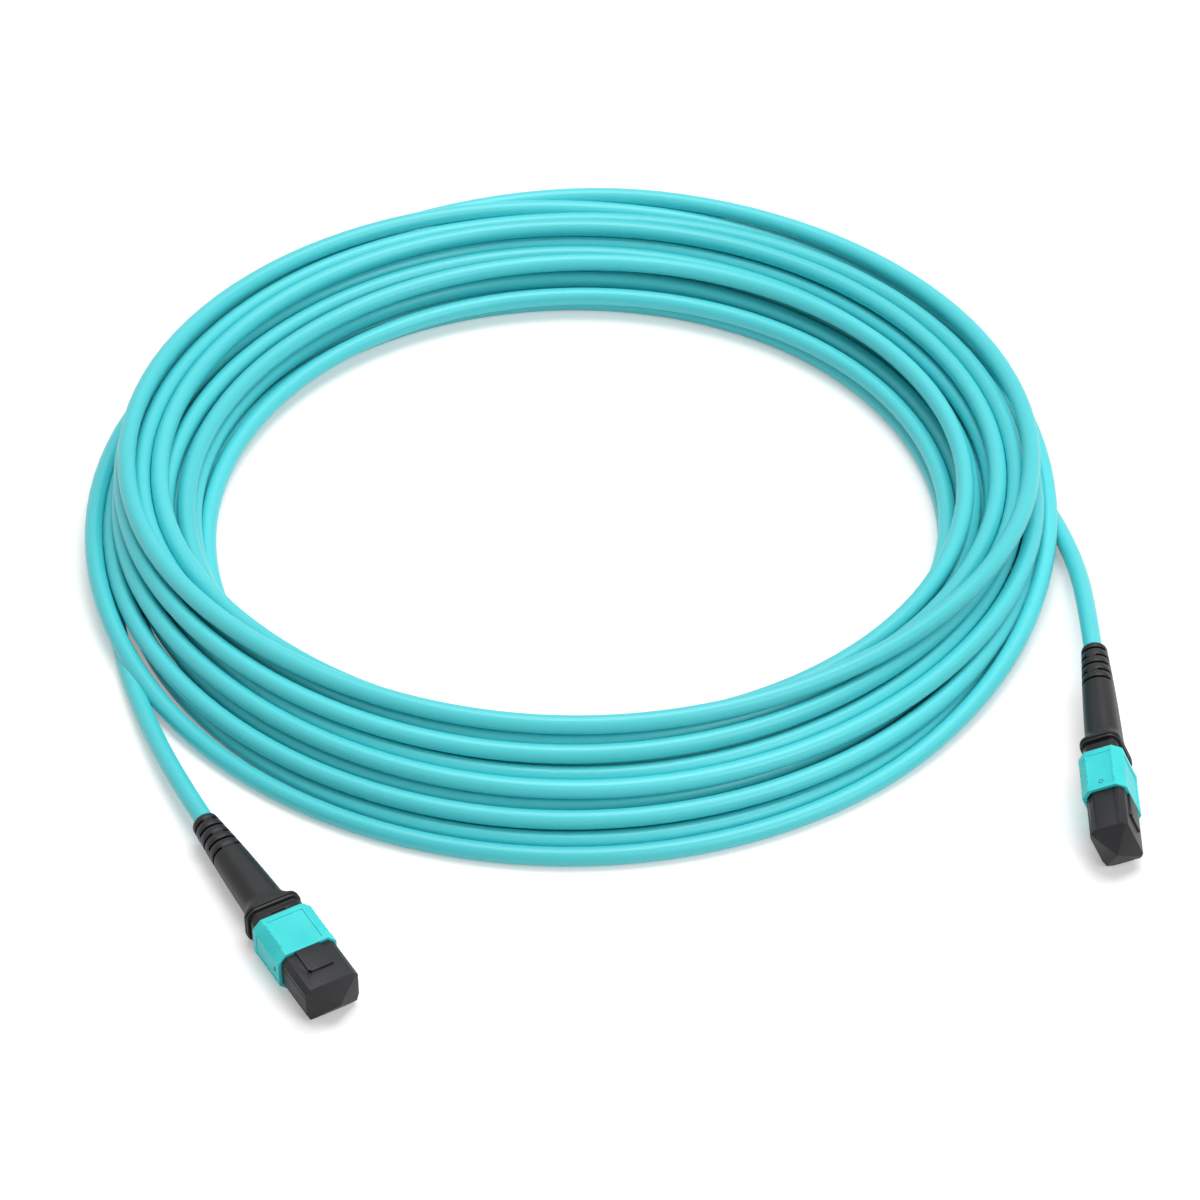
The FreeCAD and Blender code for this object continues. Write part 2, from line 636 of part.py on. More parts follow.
def wound_spring(name, plug, mean_diameter, wire, front, rear, turns, pieces, side=0.0):
    """A coil spring between two stations, its axis offset to one side of the plug."""
    radius = mean_diameter / 2
    start = -(front + wire / 2)
    length = rear - front - wire
    count = round(turns * pieces)
    points = []
    for number in range(count + 1):
        angle = 2 * math.pi * number / pieces
        points.append(FreeCAD.Vector(start - length * number / count, side + radius * math.cos(angle),
                                     radius * math.sin(angle)))
    section = even_sided(points[0], points[1] - points[0], FreeCAD.Vector(0, 1, 0), wire, WIRE_SIDES)
    spring = doc.addObject("Part::Feature", name + "_" + plug)
    spring.Label = name + "_" + plug
    spring.Shape = Part.makePolygon(points).makePipeShell([section], True, True, 1)
    spring.Placement = PLUGS[plug]
    return spring


def ferrule_spring(plug):
    wire = value("ferrule_spring_wire")
    outside = value("spring_plate_height") - 2 * value("seat_gap")
    return wound_spring("ferrule_spring", plug, outside - wire, wire, value(SPRING_FRONT) + value("seat_gap"),
                        value(POST_FRONT) - value("seat_gap"), value("ferrule_spring_turns"), 10)


def coupling_spring(plug, hand, side):
    wire = value("coupling_spring_wire")
    return wound_spring("coupling_spring_" + hand, plug, value(COUPLING_SPRING_WIDTH) - wire, wire,
                        value(TAB_REAR) + value("seat_gap"), value(GROOVE_REAR) - value("seat_gap"),
                        value("coupling_spring_turns"), 7, side * value(COUPLING_SPRING_CENTRE))


# ---- the cord ----

# Each route starts on its plug's axis, inside the boot and past its tail, and ends inside the coil.
CORD_SIDES = 12
ARC_SHARE = 0.45
PAST_TAIL = 7.0
ROUTES = {
    "a": [(-88.4, -52.0, 1.9), (-97.0, -17.4, 1.9)],
    "b": [(104.3, -9.3, 3.2), (95.9, 19.0, 1.9)],
}


def rounded_path(points):
    """Straight runs joined by tangent arcs, each as large as its two runs allow."""
    edges = []
    radii = []
    start = points[0]
    for before, corner, after in zip(points, points[1:], points[2:]):
        back = before - corner
        onward = after - corner
        half_turn = (math.pi - back.getAngle(onward)) / 2
        trim = ARC_SHARE * min(back.Length, onward.Length)
        radius = trim / math.tan(half_turn)
        inward = (back.normalize() + onward.normalize()).normalize()
        arc_start = corner + back * trim
        arc_middle = corner + inward * (radius / math.cos(half_turn) - radius)
        arc_end = corner + onward * trim
        edges.append(Part.LineSegment(start, arc_start).toShape())
        edges.append(Part.Arc(arc_start, arc_middle, arc_end).toShape())
        radii.append(radius)
        start = arc_end
    edges.append(Part.LineSegment(start, points[-1]).toShape())
    return Part.Wire(edges), radii


def cable_lead(plug):
    """The cord from inside the boot to where it joins the coil."""
    placement = PLUGS[plug]
    on_axis = [FreeCAD.Vector(-value(CABLE_START), 0, 0), FreeCAD.Vector(-value(BOOT_TAIL) - PAST_TAIL, 0, 0)]
    points = [placement.multVec(point) for point in on_axis]
    points += [FreeCAD.Vector(*point) for point in ROUTES[plug]]
    path, radii = rounded_path(points)
    width = value("cable_diameter")
    section = even_sided(points[0], points[1] - points[0], FreeCAD.Vector(0, 0, 1), width, CORD_SIDES)
    lead = doc.addObject("Part::Feature", "cable_lead_" + plug)
    lead.Label = "cable_lead_" + plug
    lead.Shape = path.makePipeShell([section], True, True)
    expected = Part.Face(section).Area * path.Length
    print("lead", plug, "radii", [round(r, 1) for r in radii], "runs",
          [round((b - a).Length, 1) for a, b in zip(points, points[1:])],
          "volume", round(lead.Shape.Volume, 2), "section x length", round(expected, 2))
    return lead


def cable_coil():
    """All the turns of the coil as one ring, its section a rectangle with cut corners."""
    body = doc.addObject("PartDesign::Body", "cable_coil")
    body.Label = "cable_coil"
    middle = half("coil_outer_radius + coil_inner_radius")
    bundle = chamfered("coil_outer_radius - coil_inner_radius", "coil_height", "coil_chamfer")
    outline = [(join(middle, across), join(half("coil_height"), up)) for across, up in bundle]
    ring = new_feature(body, "Revolution", "ring", new_sketch(body, "section", [outline], plane="XZ_Plane"))
    ring.ReferenceAxis = (origin_feature(body, "Z_Axis"), [""])
    ring.Angle = 360
    return body


parts = []
for plug in PLUGS:
    for piece in (mt_ferrule, ferrule_boot, ferrule_spacer, ferrule_spring, fibre_ribbon, plug_housing,
                  rear_post, crimp_ring, coupling_sleeve, dust_cap, strain_boot):
        parts.append(piece(plug))
    parts.append(coupling_spring(plug, "left", 1))
    parts.append(coupling_spring(plug, "right", -1))
    parts.append(cable_lead(plug))
parts.append(cable_coil())

doc.recompute()
for item in doc.Objects:
    if "Invalid" in item.State or "Error" in item.State:
        raise RuntimeError("%s failed: %s" % (item.Label, item.State))
os.makedirs("parts", exist_ok=True)
for part in parts:
    if part.Shape.isNull() or not part.Shape.isValid():
        raise RuntimeError(part.Label + " has no valid shape")
    part.Shape.exportStep("parts/%s.step" % part.Label)
print(len(parts), "parts")
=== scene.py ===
# %% [markdown]
# # A coiled fibre patch cord with multi-fibre plugs
#
# The real piece is about eleven metres of round jacketed cable wound into a flat ring by hand.
# Each end has a rectangular push-pull plug: a coloured sliding sleeve over a black housing,
# a dark bend-protecting boot behind it and a dark dust cap in front. The CAD model fixes every
# size and joint. This notebook adds what the eye reads: the true lie of the turns, soft rounded
# edges on moulded plastic, and the finish of each material.

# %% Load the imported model
import math

import bmesh
import bpy
import numpy as np
from mathutils import Euler, Matrix, Vector


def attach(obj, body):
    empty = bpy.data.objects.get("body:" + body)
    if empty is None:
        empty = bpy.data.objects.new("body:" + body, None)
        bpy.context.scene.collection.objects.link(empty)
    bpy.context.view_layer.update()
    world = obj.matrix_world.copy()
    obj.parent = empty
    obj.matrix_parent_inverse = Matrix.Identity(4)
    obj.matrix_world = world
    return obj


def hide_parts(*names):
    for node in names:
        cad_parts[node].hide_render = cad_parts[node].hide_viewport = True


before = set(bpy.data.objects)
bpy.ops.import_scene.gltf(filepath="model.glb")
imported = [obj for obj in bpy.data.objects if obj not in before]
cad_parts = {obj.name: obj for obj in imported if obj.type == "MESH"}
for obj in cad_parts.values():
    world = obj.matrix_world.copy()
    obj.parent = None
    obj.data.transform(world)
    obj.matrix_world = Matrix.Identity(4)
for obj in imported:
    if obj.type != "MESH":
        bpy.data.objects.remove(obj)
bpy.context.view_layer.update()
MM = 0.001

# %% [markdown]
# ## The camera
#
# A product picture of a coil is taken from above the front at about 49 degrees from straight
# down, with a long lens so that the ring keeps its oval without much perspective. The camera is
# made first because the lie of the cable is judged through it.

# %% Camera
FOCAL_LENGTH = 117.6
SENSOR_WIDTH = 36.0
CAMERA_PLACE = (0.00545, -0.6326, 0.5331)
CAMERA_TILT = 48.92
lens = bpy.data.cameras.new("camera")
lens.lens = FOCAL_LENGTH
lens.sensor_width = SENSOR_WIDTH
camera = bpy.data.objects.new("camera", lens)
camera.location = CAMERA_PLACE
camera.rotation_euler = Euler((math.radians(CAMERA_TILT), 0.0, 0.0))
bpy.context.scene.collection.objects.link(camera)
bpy.context.scene.camera = camera
print("camera is", round(camera.location.length, 3), "m from the middle of the coil")

# %% [markdown]
# ## Where the plugs lie
#
# Each plug has its own frame: +X points out of the ferrule, so a station measured back from the
# ferrule's end face is at x = -station. The placement turns by yaw about Z, then pitch about Y,
# then roll about X, and moves to the ferrule's end face.

# %% Plug frames
PLUG_PLACES = {
    # the ferrule's end face in millimetres; yaw, pitch and roll in degrees
    "a": ((-44.92, -135.1, 4.5), (-59.3, 0.0, 0.0)),
    "b": ((103.98, -97.05, 6.41), (-90.7, 2.5, -66.0)),
}


def turned(degrees, axis):
    """4x4 matrix of a turn about one axis."""
    return Matrix.Rotation(math.radians(degrees), 4, axis)


def plug_frame(plug):
    """4x4 matrix from a plug's own frame, in metres, to the cord's frame: move x Rz x Ry x Rx."""
    end_face, (yaw, pitch, roll) = PLUG_PLACES[plug]
    turn = turned(yaw, "Z") @ turned(pitch, "Y") @ turned(roll, "X")
    return Matrix.Translation(Vector(end_face) * MM) @ turn


def on_axis(plug, station):
    """The point on a plug's axis at a station, in millimetres back from its end face."""
    return np.array(plug_frame(plug) @ Vector((-station * MM, 0.0, 0.0)))


print("ferrule faces at", on_axis("a", 0.0).round(4), on_axis("b", 0.0).round(4))

# %% [markdown]
# ## How the cable lies in the coil
#
# A coil thrown by hand is a spiral that wanders: it winds inwards on the table, comes back out
# over itself, goes in again, and the last turns slide down the outside at the right. Radius is
# therefore a saw-tooth of the turns made so far, with a slow random wander added. The higher a
# turn lies, the further it leans towards the back. Where two turns then want the same place, the
# cable decides: in every slice of the ring the strands are discs that push each other apart, sink
# under their weight and stop at the table, while stiffness keeps each strand level with itself
# from slice to slice. That is solved here for all slices at once.

# %% Turns made by hand
CABLE = 3.8 * MM
SLICES = 24
FIRST_AZIMUTH = 190.0
TURNS = 19 + 11 / SLICES
LIE = np.array([
    # turns made, radius, storey, lean towards the back
    (0.0, 97.2, 0.0, 0.0),
    (0.55, 93.7, 0.0, 0.0),
    (0.7, 93.6, 0.0, 0.0),
    (0.95, 94.7, 0.0, 0.0),
    (1.55, 89.9, 0.0, 0.0),
    (5.2, 76.2, 0.0, 0.0),
    (5.5, 77.0, 1.0, 2.5),
    (10.1, 96.0, 1.0, 3.5),
    (10.4, 95.0, 2.0, 7.5),
    (14.1, 78.6, 2.0, 3.2),
    (14.4, 79.0, 3.0, 5.0),
    (14.75, 80.9, 3.0, 7.6),
    (15.1, 83.1, 3.0, 9.0),
    (17.2, 91.0, 3.0, 9.0),
    (17.3, 92.6, 3.0, 9.0),
    (17.42, 93.2, 3.0, 9.0),
    (17.6, 88.6, 4.0, 12.5),
    (18.25, 87.6, 4.0, 12.0),
    (18.36, 89.5, 4.0, 11.3),
    (18.42, 92.0, 4.0, 9.5),
    (18.47, 96.5, 3.2, 4.0),
    (18.51, 98.4, 2.0, 1.0),
    (18.55, 97.2, 1.2, 0.0),
    (18.6, 96.2, 0.8, 0.0),
    (18.66, 96.9, 0.0, 0.0),
    (18.78, 97.7, 0.0, 0.0),
    (18.93, 98.6, 0.0, 0.0),
    (19.03, 99.0, 1.2, 0.0),
    (19.12, 98.8, 1.2, 0.0),
    (19.25, 102.0, 0.0, 0.0),
    (TURNS, 102.5, 0.0, 0.0),
])
turns = np.arange(0, round(TURNS * SLICES) + 1) / SLICES
azimuth = np.radians(FIRST_AZIMUTH - 360.0 * turns)
mean_radius, storey, lean = (np.interp(turns, LIE[:, 0], column) for column in LIE[:, 1:].T)
print(len(turns), "control points in", round(turns[-1], 2), "turns")

# %% Where each turn wants to lie
LEAN_SHARPNESS = 2.0
LEAN_SHIFT = 0.35
FRONT_LEAN = 1.2
WAVES = 9
QUICK_WANDER = (0.45, (1.4, 3.1))
SLOW_WANDER = (0.35, (0.2, 0.9))
# heights in cable diameters: a strand on the table, and the rise from one storey to the next
RESTING = 0.5
STOREY_RISE = 0.87
random = np.random.default_rng(7)


def wander(turns, size, rates_between):
    """Sum of sines of the turns made, at random rates: size x sin(2 pi (rate x turns + phase))."""
    rates = random.uniform(*rates_between, WAVES)
    phases = random.uniform(0.0, 1.0, WAVES)
    waves = np.sin(2 * np.pi * (rates[:, None] * turns + phases[:, None]))
    return size * waves.sum(0) / math.sqrt(WAVES)


# nearly -1 at the front and 1 at the back, with a quick change at each side of the ring
backwards = np.tanh(LEAN_SHARPNESS * (np.sin(azimuth) + LEAN_SHIFT))
wanted_radius = mean_radius + lean * np.where(backwards < 0, FRONT_LEAN * backwards, backwards)
wanted_radius += wander(turns, *QUICK_WANDER) + wander(turns, *SLOW_WANDER)
wanted_height = CABLE / MM * (RESTING + STOREY_RISE * storey)
print("wanted from", wanted_radius.min().round(1), "to", wanted_radius.max().round(1), "mm")

# %% What holds the strands up and down
# spans in turns made, and heights in cable diameters
OVER_LEADS = [(18.47, 18.58), (18.99, 19.11)]
OVER_A_STRAND = 1.45
ON_TABLE = (18.65, 18.93)
HELD_DOWN = 0.52
NO_ROOF = 100.0
ground = np.full(len(turns), RESTING * CABLE / MM)
for first, last in OVER_LEADS:
    ground[(turns > first) & (turns < last)] = OVER_A_STRAND * CABLE / MM
held_down = (turns > ON_TABLE[0]) & (turns < ON_TABLE[1])
roof = np.where(held_down, HELD_DOWN * CABLE / MM, NO_ROOF)
lifted = ground > ground.min()
print(lifted.sum(), "points lifted over the leads,", held_down.sum(), "held on the table")

# %% Settle the strands
SETTLE_STEPS = 900
LOOSER_STEPS = 60
STRAND_GAP = 1.02
WEIGHT = 0.05
MEMORY = 0.04
STIFFNESS = 0.35
LOOSER_STIFFNESS = 0.12
PUSH = 0.45
PUSHES = 2
TINY = 1e-9


def in_slices(values, empty):
    """One row for each turn and one column for each slice, with the last turn's empty places added."""
    return np.pad(values, (0, empty)).reshape(-1, SLICES)


def settle(radius, height, ground, roof):
    """Radius and height of every control point once the strands of a slice lie a diameter apart.

    Each step sinks a strand by its weight, draws it to the radius it was given, evens it with its
    neighbours along the cable, and moves each near pair by PUSH x overlap x (dr, dz) / distance.
    """
    rows = -(-len(radius) // SLICES)
    empty = rows * SLICES - len(radius)
    gap = STRAND_GAP * CABLE / MM
    r, z = radius.copy(), height.copy()
    there = in_slices(np.ones(len(r), bool), empty)
    both = there[:, None] & there[None, :] & ~np.eye(rows, dtype=bool)[:, :, None]
    for step in range(SETTLE_STEPS):
        z -= WEIGHT * (1 - step / SETTLE_STEPS)
        r += MEMORY * (radius - r)
        smooth = STIFFNESS if step < SETTLE_STEPS - LOOSER_STEPS else LOOSER_STIFFNESS
        for line in (r, z):
            line[1:-1] += smooth * (0.5 * (line[:-2] + line[2:]) - line[1:-1])
        for again in range(PUSHES):
            rr, zz = in_slices(r, empty), in_slices(z, empty)
            dr, dz = rr[:, None] - rr[None, :], zz[:, None] - zz[None, :]
            apart = np.sqrt(dr ** 2 + dz ** 2) + TINY
            push = np.where(both, np.maximum(gap - apart, 0.0), 0.0) * PUSH
            r += (push * dr / apart).sum(1).reshape(-1)[:len(r)]
            z += (push * dz / apart).sum(1).reshape(-1)[:len(z)]
            np.clip(z, ground, roof, out=z)
    return r, z


# a curve through the ring cuts inside its control points by about the cosine of half a slice
CORNER_CUT = 0.9915
coil_radius, coil_height = settle(wanted_radius, wanted_height, ground, roof)
spread = coil_radius / CORNER_CUT
coil_points = np.stack([spread * np.cos(azimuth), spread * np.sin(azimuth), coil_height], 1) * MM
print("turns at", coil_radius.min().round(1), "to", coil_radius.max().round(1), "mm from the middle,",
      coil_height.max().round(1), "mm high")

# %% [markdown]
# ## One cable from boot to boot
#
# The cable leaves boot A, runs to the ring, goes round it and comes out at the right into boot B.
# It is one smooth NURBS curve whose control points are the route's corners and the coil's turns.
# The tube is then a circle carried along that curve: at each point the sideways direction is
# along x up, which never twists on a cable that lies flat.

# %% The cable's line
BOOT_TAIL = 50.7
CABLE_START = 30.5
PAST_TAIL = 7.0
LEAD_A = [(-88.4, -52.0, 1.9), (-97.0, -17.4, 1.9)]
LEAD_B = [(95.9, 19.0, 1.9), (104.3, -9.3, 3.2)]
LINE_STEPS = 5
start_a, past_a = on_axis("a", CABLE_START), on_axis("a", BOOT_TAIL + PAST_TAIL)
start_b, past_b = on_axis("b", CABLE_START), on_axis("b", BOOT_TAIL + PAST_TAIL)
control = np.vstack([start_a, past_a, np.array(LEAD_A) * MM, coil_points[1:],
                     np.array(LEAD_B) * MM, past_b, start_b])


def smooth_line(name, points, steps):
    """Points along a quadratic NURBS curve: each control point pulls the line, and it keeps both ends."""
    data = bpy.data.curves.new(name, "CURVE")
    data.dimensions = "3D"
    spline = data.splines.new("NURBS")
    spline.points.add(len(points) - 1)
    spline.points.foreach_set("co", np.column_stack([points, np.ones(len(points))]).ravel())
    spline.order_u = 3
    spline.use_endpoint_u = True
    spline.resolution_u = steps
    thread = bpy.data.objects.new(name, data)
    line = bpy.data.meshes.new_from_object(thread)
    found = np.empty(len(line.vertices) * 3)
    line.vertices.foreach_get("co", found)
    bpy.data.objects.remove(thread)
    return found.reshape(-1, 3)


path = smooth_line("cable_line", control, LINE_STEPS)
steps_along = np.linalg.norm(np.diff(path, axis=0), axis=1)


# %% Surfaces on a grid
def lengthwise_map(mesh, measured, sides):
    """UV map of a tube: U is the distance along the piece in metres, V the share of the way round."""
    rows = len(measured)
    step = np.arange(sides)
    u = np.broadcast_to(measured[:, None], (rows, sides))
    v = np.broadcast_to(step, (rows, sides))
    corners = np.stack([np.stack([u[:-1], v[:-1]], -1), np.stack([u[:-1], v[:-1] + 1], -1),
                        np.stack([u[1:], v[1:] + 1], -1), np.stack([u[1:], v[1:]], -1)], -2)
    flat = np.zeros((len(mesh.loops), 2))
    flat[:corners.shape[0] * sides * 4] = corners.reshape(-1, 2) / (1, sides)
    mesh.uv_layers.new(name="along").uv.foreach_set("vector", flat.astype(np.float32).ravel())


def grid_mesh(name, points, around=True, ring=False, closed_ends=False, measured=None):
    """Mesh of an array of points [row, column]: neighbours in both directions share a four-sided face.

    around joins the last column to the first, and ring joins the last row to the first. measured
    gives each row's distance along the piece for a map along it.
    """
    rows, columns = points.shape[:2]
    index = np.arange(rows * columns).reshape(rows, columns)
    if ring:
        index = np.vstack([index, index[:1]])
    right = np.roll(index, -1, 1) if around else index[:, 1:]
    left = index if around else index[:, :-1]
    faces = np.stack([left[:-1], right[:-1], right[1:], left[1:]], -1).reshape(-1, 4).tolist()
    if closed_ends:
        faces += [index[0][::-1].tolist(), index[-1].tolist()]
    mesh = bpy.data.meshes.new(name)
    mesh.from_pydata(points.reshape(-1, 3).tolist(), [], faces)
    if measured is not None:
        lengthwise_map(mesh, measured, columns)
    mesh.update()
    return mesh


def place(name, mesh, body):
    """A finished piece: its object at the origin, riding on a body of the CAD model."""
    piece = bpy.data.objects.new(name, mesh)
    bpy.context.scene.collection.objects.link(piece)
    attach(piece, body)
    return piece


print("ready to make pieces with", grid_mesh.__name__, "and", place.__name__)

# %% The cable's tube
CABLE_SIDES = 20


def tube_points(line, radius, sides):
    """Circle of that radius at each point of a line: line + radius x (cos v sideways + sin v upwards)."""
    along = np.gradient(line, axis=0)
    along /= np.linalg.norm(along, axis=1)[:, None]
    sideways = np.cross(along, (0.0, 0.0, 1.0))
    sideways /= np.linalg.norm(sideways, axis=1)[:, None]
    upwards = np.cross(sideways, along)
    angle = np.linspace(0, 2 * np.pi, sides, endpoint=False)[None, :, None]
    return line[:, None] + radius * (np.cos(angle) * sideways[:, None] + np.sin(angle) * upwards[:, None])


along_cable = np.concatenate([[0.0], np.cumsum(steps_along)])
cable_surface = tube_points(path, CABLE / 2, CABLE_SIDES)
cable_mesh = grid_mesh("cable", cable_surface, closed_ends=True, measured=along_cable)
cable_mesh.polygons.foreach_set("use_smooth", np.ones(len(cable_mesh.polygons), bool))
cable = place("cable", cable_mesh, "cord")
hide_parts("cable_coil", "cable_lead_a", "cable_lead_b")
print("cable tube", len(cable_mesh.polygons), "faces")

# %% [markdown]
# ## The strain boots
#
# A boot is moulded in one piece from soft black plastic. It is a hollow tapering sleeve with a
# rounded-rectangle section, and five short slots are staggered by a quarter turn near the tail,
# so that the tube bends in every direction and never kinks. At the front it flares out to a
# rounded lip with a fine groove round it, and a narrower collar ahead of the lip seats against
# the housing. The surface is one grid that runs down the outside, turns in at the tail and comes
# back up the bore.

# %% Boot sizes
# stations in millimetres back from the ferrule's end face
HOUSING_REAR = 20.1
COLLAR_REAR = 20.9
GROOVE_FRONT = 21.45
GROOVE_REAR = 21.75
LIP_REAR = 22.3
FLARE_REAR = 25.9
BOOT_STEP = 30.3
# sections: half-width, half-height and corner radius
COLLAR = (4.9, 3.45, 1.2)
LIP = (5.7, 4.1, 2.3)
NECK = (3.98, 3.5, 3.0)
TAIL = (2.62, 2.58, 2.55)
BARREL_BULGE = 0.14
CRIMP_BORE_RADIUS = 2.95
CABLE_BORE_RADIUS = 2.0
FLARE_GROWTH = LIP[0] - NECK[0]
FLARE_RADIUS = ((FLARE_REAR - LIP_REAR) ** 2 + FLARE_GROWTH ** 2) / (2 * FLARE_GROWTH)
FLARE_LIFT = (LIP[1] - NECK[1]) / FLARE_GROWTH
print("the flare is an arc of", round(FLARE_RADIUS, 2), "mm")


# %% Boot outline
def barrel(station):
    """Half-width, half-height and corner radius of the barrel at a station.

    A straight taper from neck to tail, plus a belly of sin(pi x share), plus the flare's arc: R minus
    the root of R squared minus the distance ahead squared.
    """
    share = np.clip((station - FLARE_REAR) / (BOOT_TAIL - FLARE_REAR), 0, 1)
    wide, high, corner = (front + (rear - front) * share for front, rear in zip(NECK, TAIL))
    belly = BARREL_BULGE * math.sin(math.pi * share)
    ahead = max(FLARE_REAR - station, 0.0)
    flare = FLARE_RADIUS - math.sqrt(FLARE_RADIUS ** 2 - ahead ** 2)
    squarer = (LIP[2] - NECK[2]) * flare / FLARE_GROWTH
    return wide + belly + flare, high + belly + FLARE_LIFT * flare, corner + belly + squarer


def rounded_box(size, angles):
    """Points of a rounded rectangle of half-width a, half-height b and corner radius c.

    y = sign(cos v)(a - c) + c cos v and z = sign(sin v)(b - c) + c sin v.
    """
    wide, high, corner = size
    across, up = np.cos(angles).round(9), np.sin(angles).round(9)
    return np.stack([np.sign(across) * (wide - corner) + corner * across,
                     np.sign(up) * (high - corner) + corner * up], -1)


def shrunk(size, by):
    """A section drawn in by the same distance all round."""
    return tuple(length - by for length in size)


print("barrel from", np.round(barrel(FLARE_REAR), 2), "to", np.round(barrel(BOOT_TAIL), 2))

# %% Slots
SLOT_COUNT = 5
SLOT_PITCH = 2.2
SLOT_LENGTH = 0.55
SLOT_FLOOR = 2.2
WEB_HALF_ANGLE = 18.0
WEB_EDGE = 0.6
COLUMN_STEP = 3.75
LAST_SLOT_REAR = BOOT_TAIL - 1.5
SLOTS_FRONT = LAST_SLOT_REAR - SLOT_LENGTH - (SLOT_COUNT - 1) * SLOT_PITCH


def boot_columns():
    """Angles round the boot: even steps, with a close pair at each edge of a slot."""
    even = np.arange(0, 360, COLUMN_STEP)
    edges = [quarter + side * WEB_HALF_ANGLE + step for quarter in (0, 90, 180, 270)
             for side in (-1, 1) for step in (-WEB_EDGE, WEB_EDGE)]
    return np.radians(np.unique(np.concatenate([even, np.mod(edges, 360)])))


def slot_row(station, angles, number):
    """A row on the floor of a slot: outside its two webs the outline drops to the slot's floor."""
    outline = rounded_box(barrel(station), angles)
    first_web = 90.0 if number % 2 == 0 else 0.0
    from_web = np.abs((np.degrees(angles) - first_web + 90.0) % 180.0 - 90.0)
    floor = SLOT_FLOOR * np.stack([np.cos(angles), np.sin(angles)], -1)
    return np.where((from_web > WEB_HALF_ANGLE)[:, None], floor, outline)


print(SLOT_COUNT, "slots from station", round(SLOTS_FRONT, 2), "mm")

# %% Rows down the boot
# station and inset of each row, in millimetres: the insets round the edges
COLLAR_ROWS = [(HOUSING_REAR, 0.1), (HOUSING_REAR + 0.1, 0.0), (COLLAR_REAR, 0.0)]
GROOVE_EDGE = 0.08
GROOVE_DEPTH = 0.25
LIP_ROWS = [
    (COLLAR_REAR, 0.3), (COLLAR_REAR + 0.08, 0.1), (COLLAR_REAR + 0.28, 0.0),
    (GROOVE_FRONT - GROOVE_EDGE, 0.0), (GROOVE_FRONT, GROOVE_EDGE), (GROOVE_FRONT, GROOVE_DEPTH),
    (GROOVE_REAR, GROOVE_DEPTH), (GROOVE_REAR, GROOVE_EDGE), (GROOVE_REAR + GROOVE_EDGE, 0.0),
    (LIP_REAR - 0.22, 0.0), (LIP_REAR - 0.06, 0.07),
]
# from close behind the lip to the end of the flare, then down the barrel to the first slot
FLARE_STATIONS = FLARE_REAR - (FLARE_REAR - LIP_REAR) * np.linspace(0.98, 0.0, 12)
BARREL_STATIONS = np.linspace(FLARE_REAR + 1.0, SLOTS_FRONT - 0.5, 10)
# distance from a slot's edge and inset
BEFORE_SLOT = [(-0.12, 0.0), (-0.02, 0.07)]
AFTER_SLOT = [(0.02, 0.07), (0.12, 0.0), (0.8, 0.0)]
TAIL_ROUND = 0.5
TAIL_TURNS = np.radians((0, 22.5, 45, 67.5, 90))
BORE_ROWS = [(BOOT_TAIL, CABLE_BORE_RADIUS), (BOOT_STEP, CABLE_BORE_RADIUS),
             (BOOT_STEP, CRIMP_BORE_RADIUS), (HOUSING_REAR, CRIMP_BORE_RADIUS)]


def boot_points():
    """Rows of the boot's surface: collar's face, down the outside, round the tail and up the bore."""
    angles = boot_columns()
    rows = []

    def row(station, outline):
        rows.append(np.column_stack([np.full(len(angles), -station), outline]))

    def barrel_row(station, inset=0.0):
        row(station, rounded_box(shrunk(barrel(station), inset), angles))

    for station, inset in COLLAR_ROWS:
        row(station, rounded_box(shrunk(COLLAR, inset), angles))
    for station, inset in LIP_ROWS:
        row(station, rounded_box(shrunk(LIP, inset), angles))
    for station in (*FLARE_STATIONS, *BARREL_STATIONS):
        barrel_row(station)
    for number in range(SLOT_COUNT):
        front = SLOTS_FRONT + number * SLOT_PITCH
        rear = front + SLOT_LENGTH
        for step, inset in BEFORE_SLOT:
            barrel_row(front + step, inset)
        row(front, slot_row(front, angles, number))
        row(rear, slot_row(rear, angles, number))
        for step, inset in AFTER_SLOT:
            barrel_row(rear + step, inset)
    for turn in TAIL_TURNS:
        barrel_row(BOOT_TAIL - TAIL_ROUND * (1 - math.sin(turn)), TAIL_ROUND * (1 - math.cos(turn)))
    circle = np.stack([np.cos(angles), np.sin(angles)], -1)
    for station, radius in BORE_ROWS:
        row(station, radius * circle)
    return np.array(rows)


print("boot grid of", boot_points().shape[:2], "points")

# %% Boots
BOOT_CREASE = 38


def in_plug(plug, points):
    """Points in a plug's frame, in millimetres, placed in the cord's frame in metres."""
    turn = np.array(plug_frame(plug))
    return points * MM @ turn[:3, :3].T + turn[:3, 3]


def smooth_shaded(mesh, sharp_from):
    """Smooth faces, with a crease wherever two faces meet at more than an angle in degrees."""
    mesh.polygons.foreach_set("use_smooth", np.ones(len(mesh.polygons), bool))
    mesh.set_sharp_from_angle(angle=math.radians(sharp_from))


boots = []
for plug in PLUG_PLACES:
    boot_mesh = grid_mesh("boot_" + plug, in_plug(plug, boot_points()), ring=True)
    smooth_shaded(boot_mesh, BOOT_CREASE)
    boot = place("boot_" + plug, boot_mesh, "cord")
    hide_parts("strain_boot_" + plug)
    boots.append(boot)
print("boots", [len(boot.data.polygons) for boot in boots], "faces")

# %% [markdown]
# ## Softened edges on moulded pieces
#
# Injection-moulded plastic never has a knife edge: the mould is cut with a small radius, and that
# radius catches the light as a thin bright line. The sleeve and the housing keep the CAD model's
# shape. The cap's nose is drawn out nearly to a point, and the bevels along its underside are
# wider than those on top. Each gets a merged copy with a small bevel on every edge sharper than
# 25 degrees.

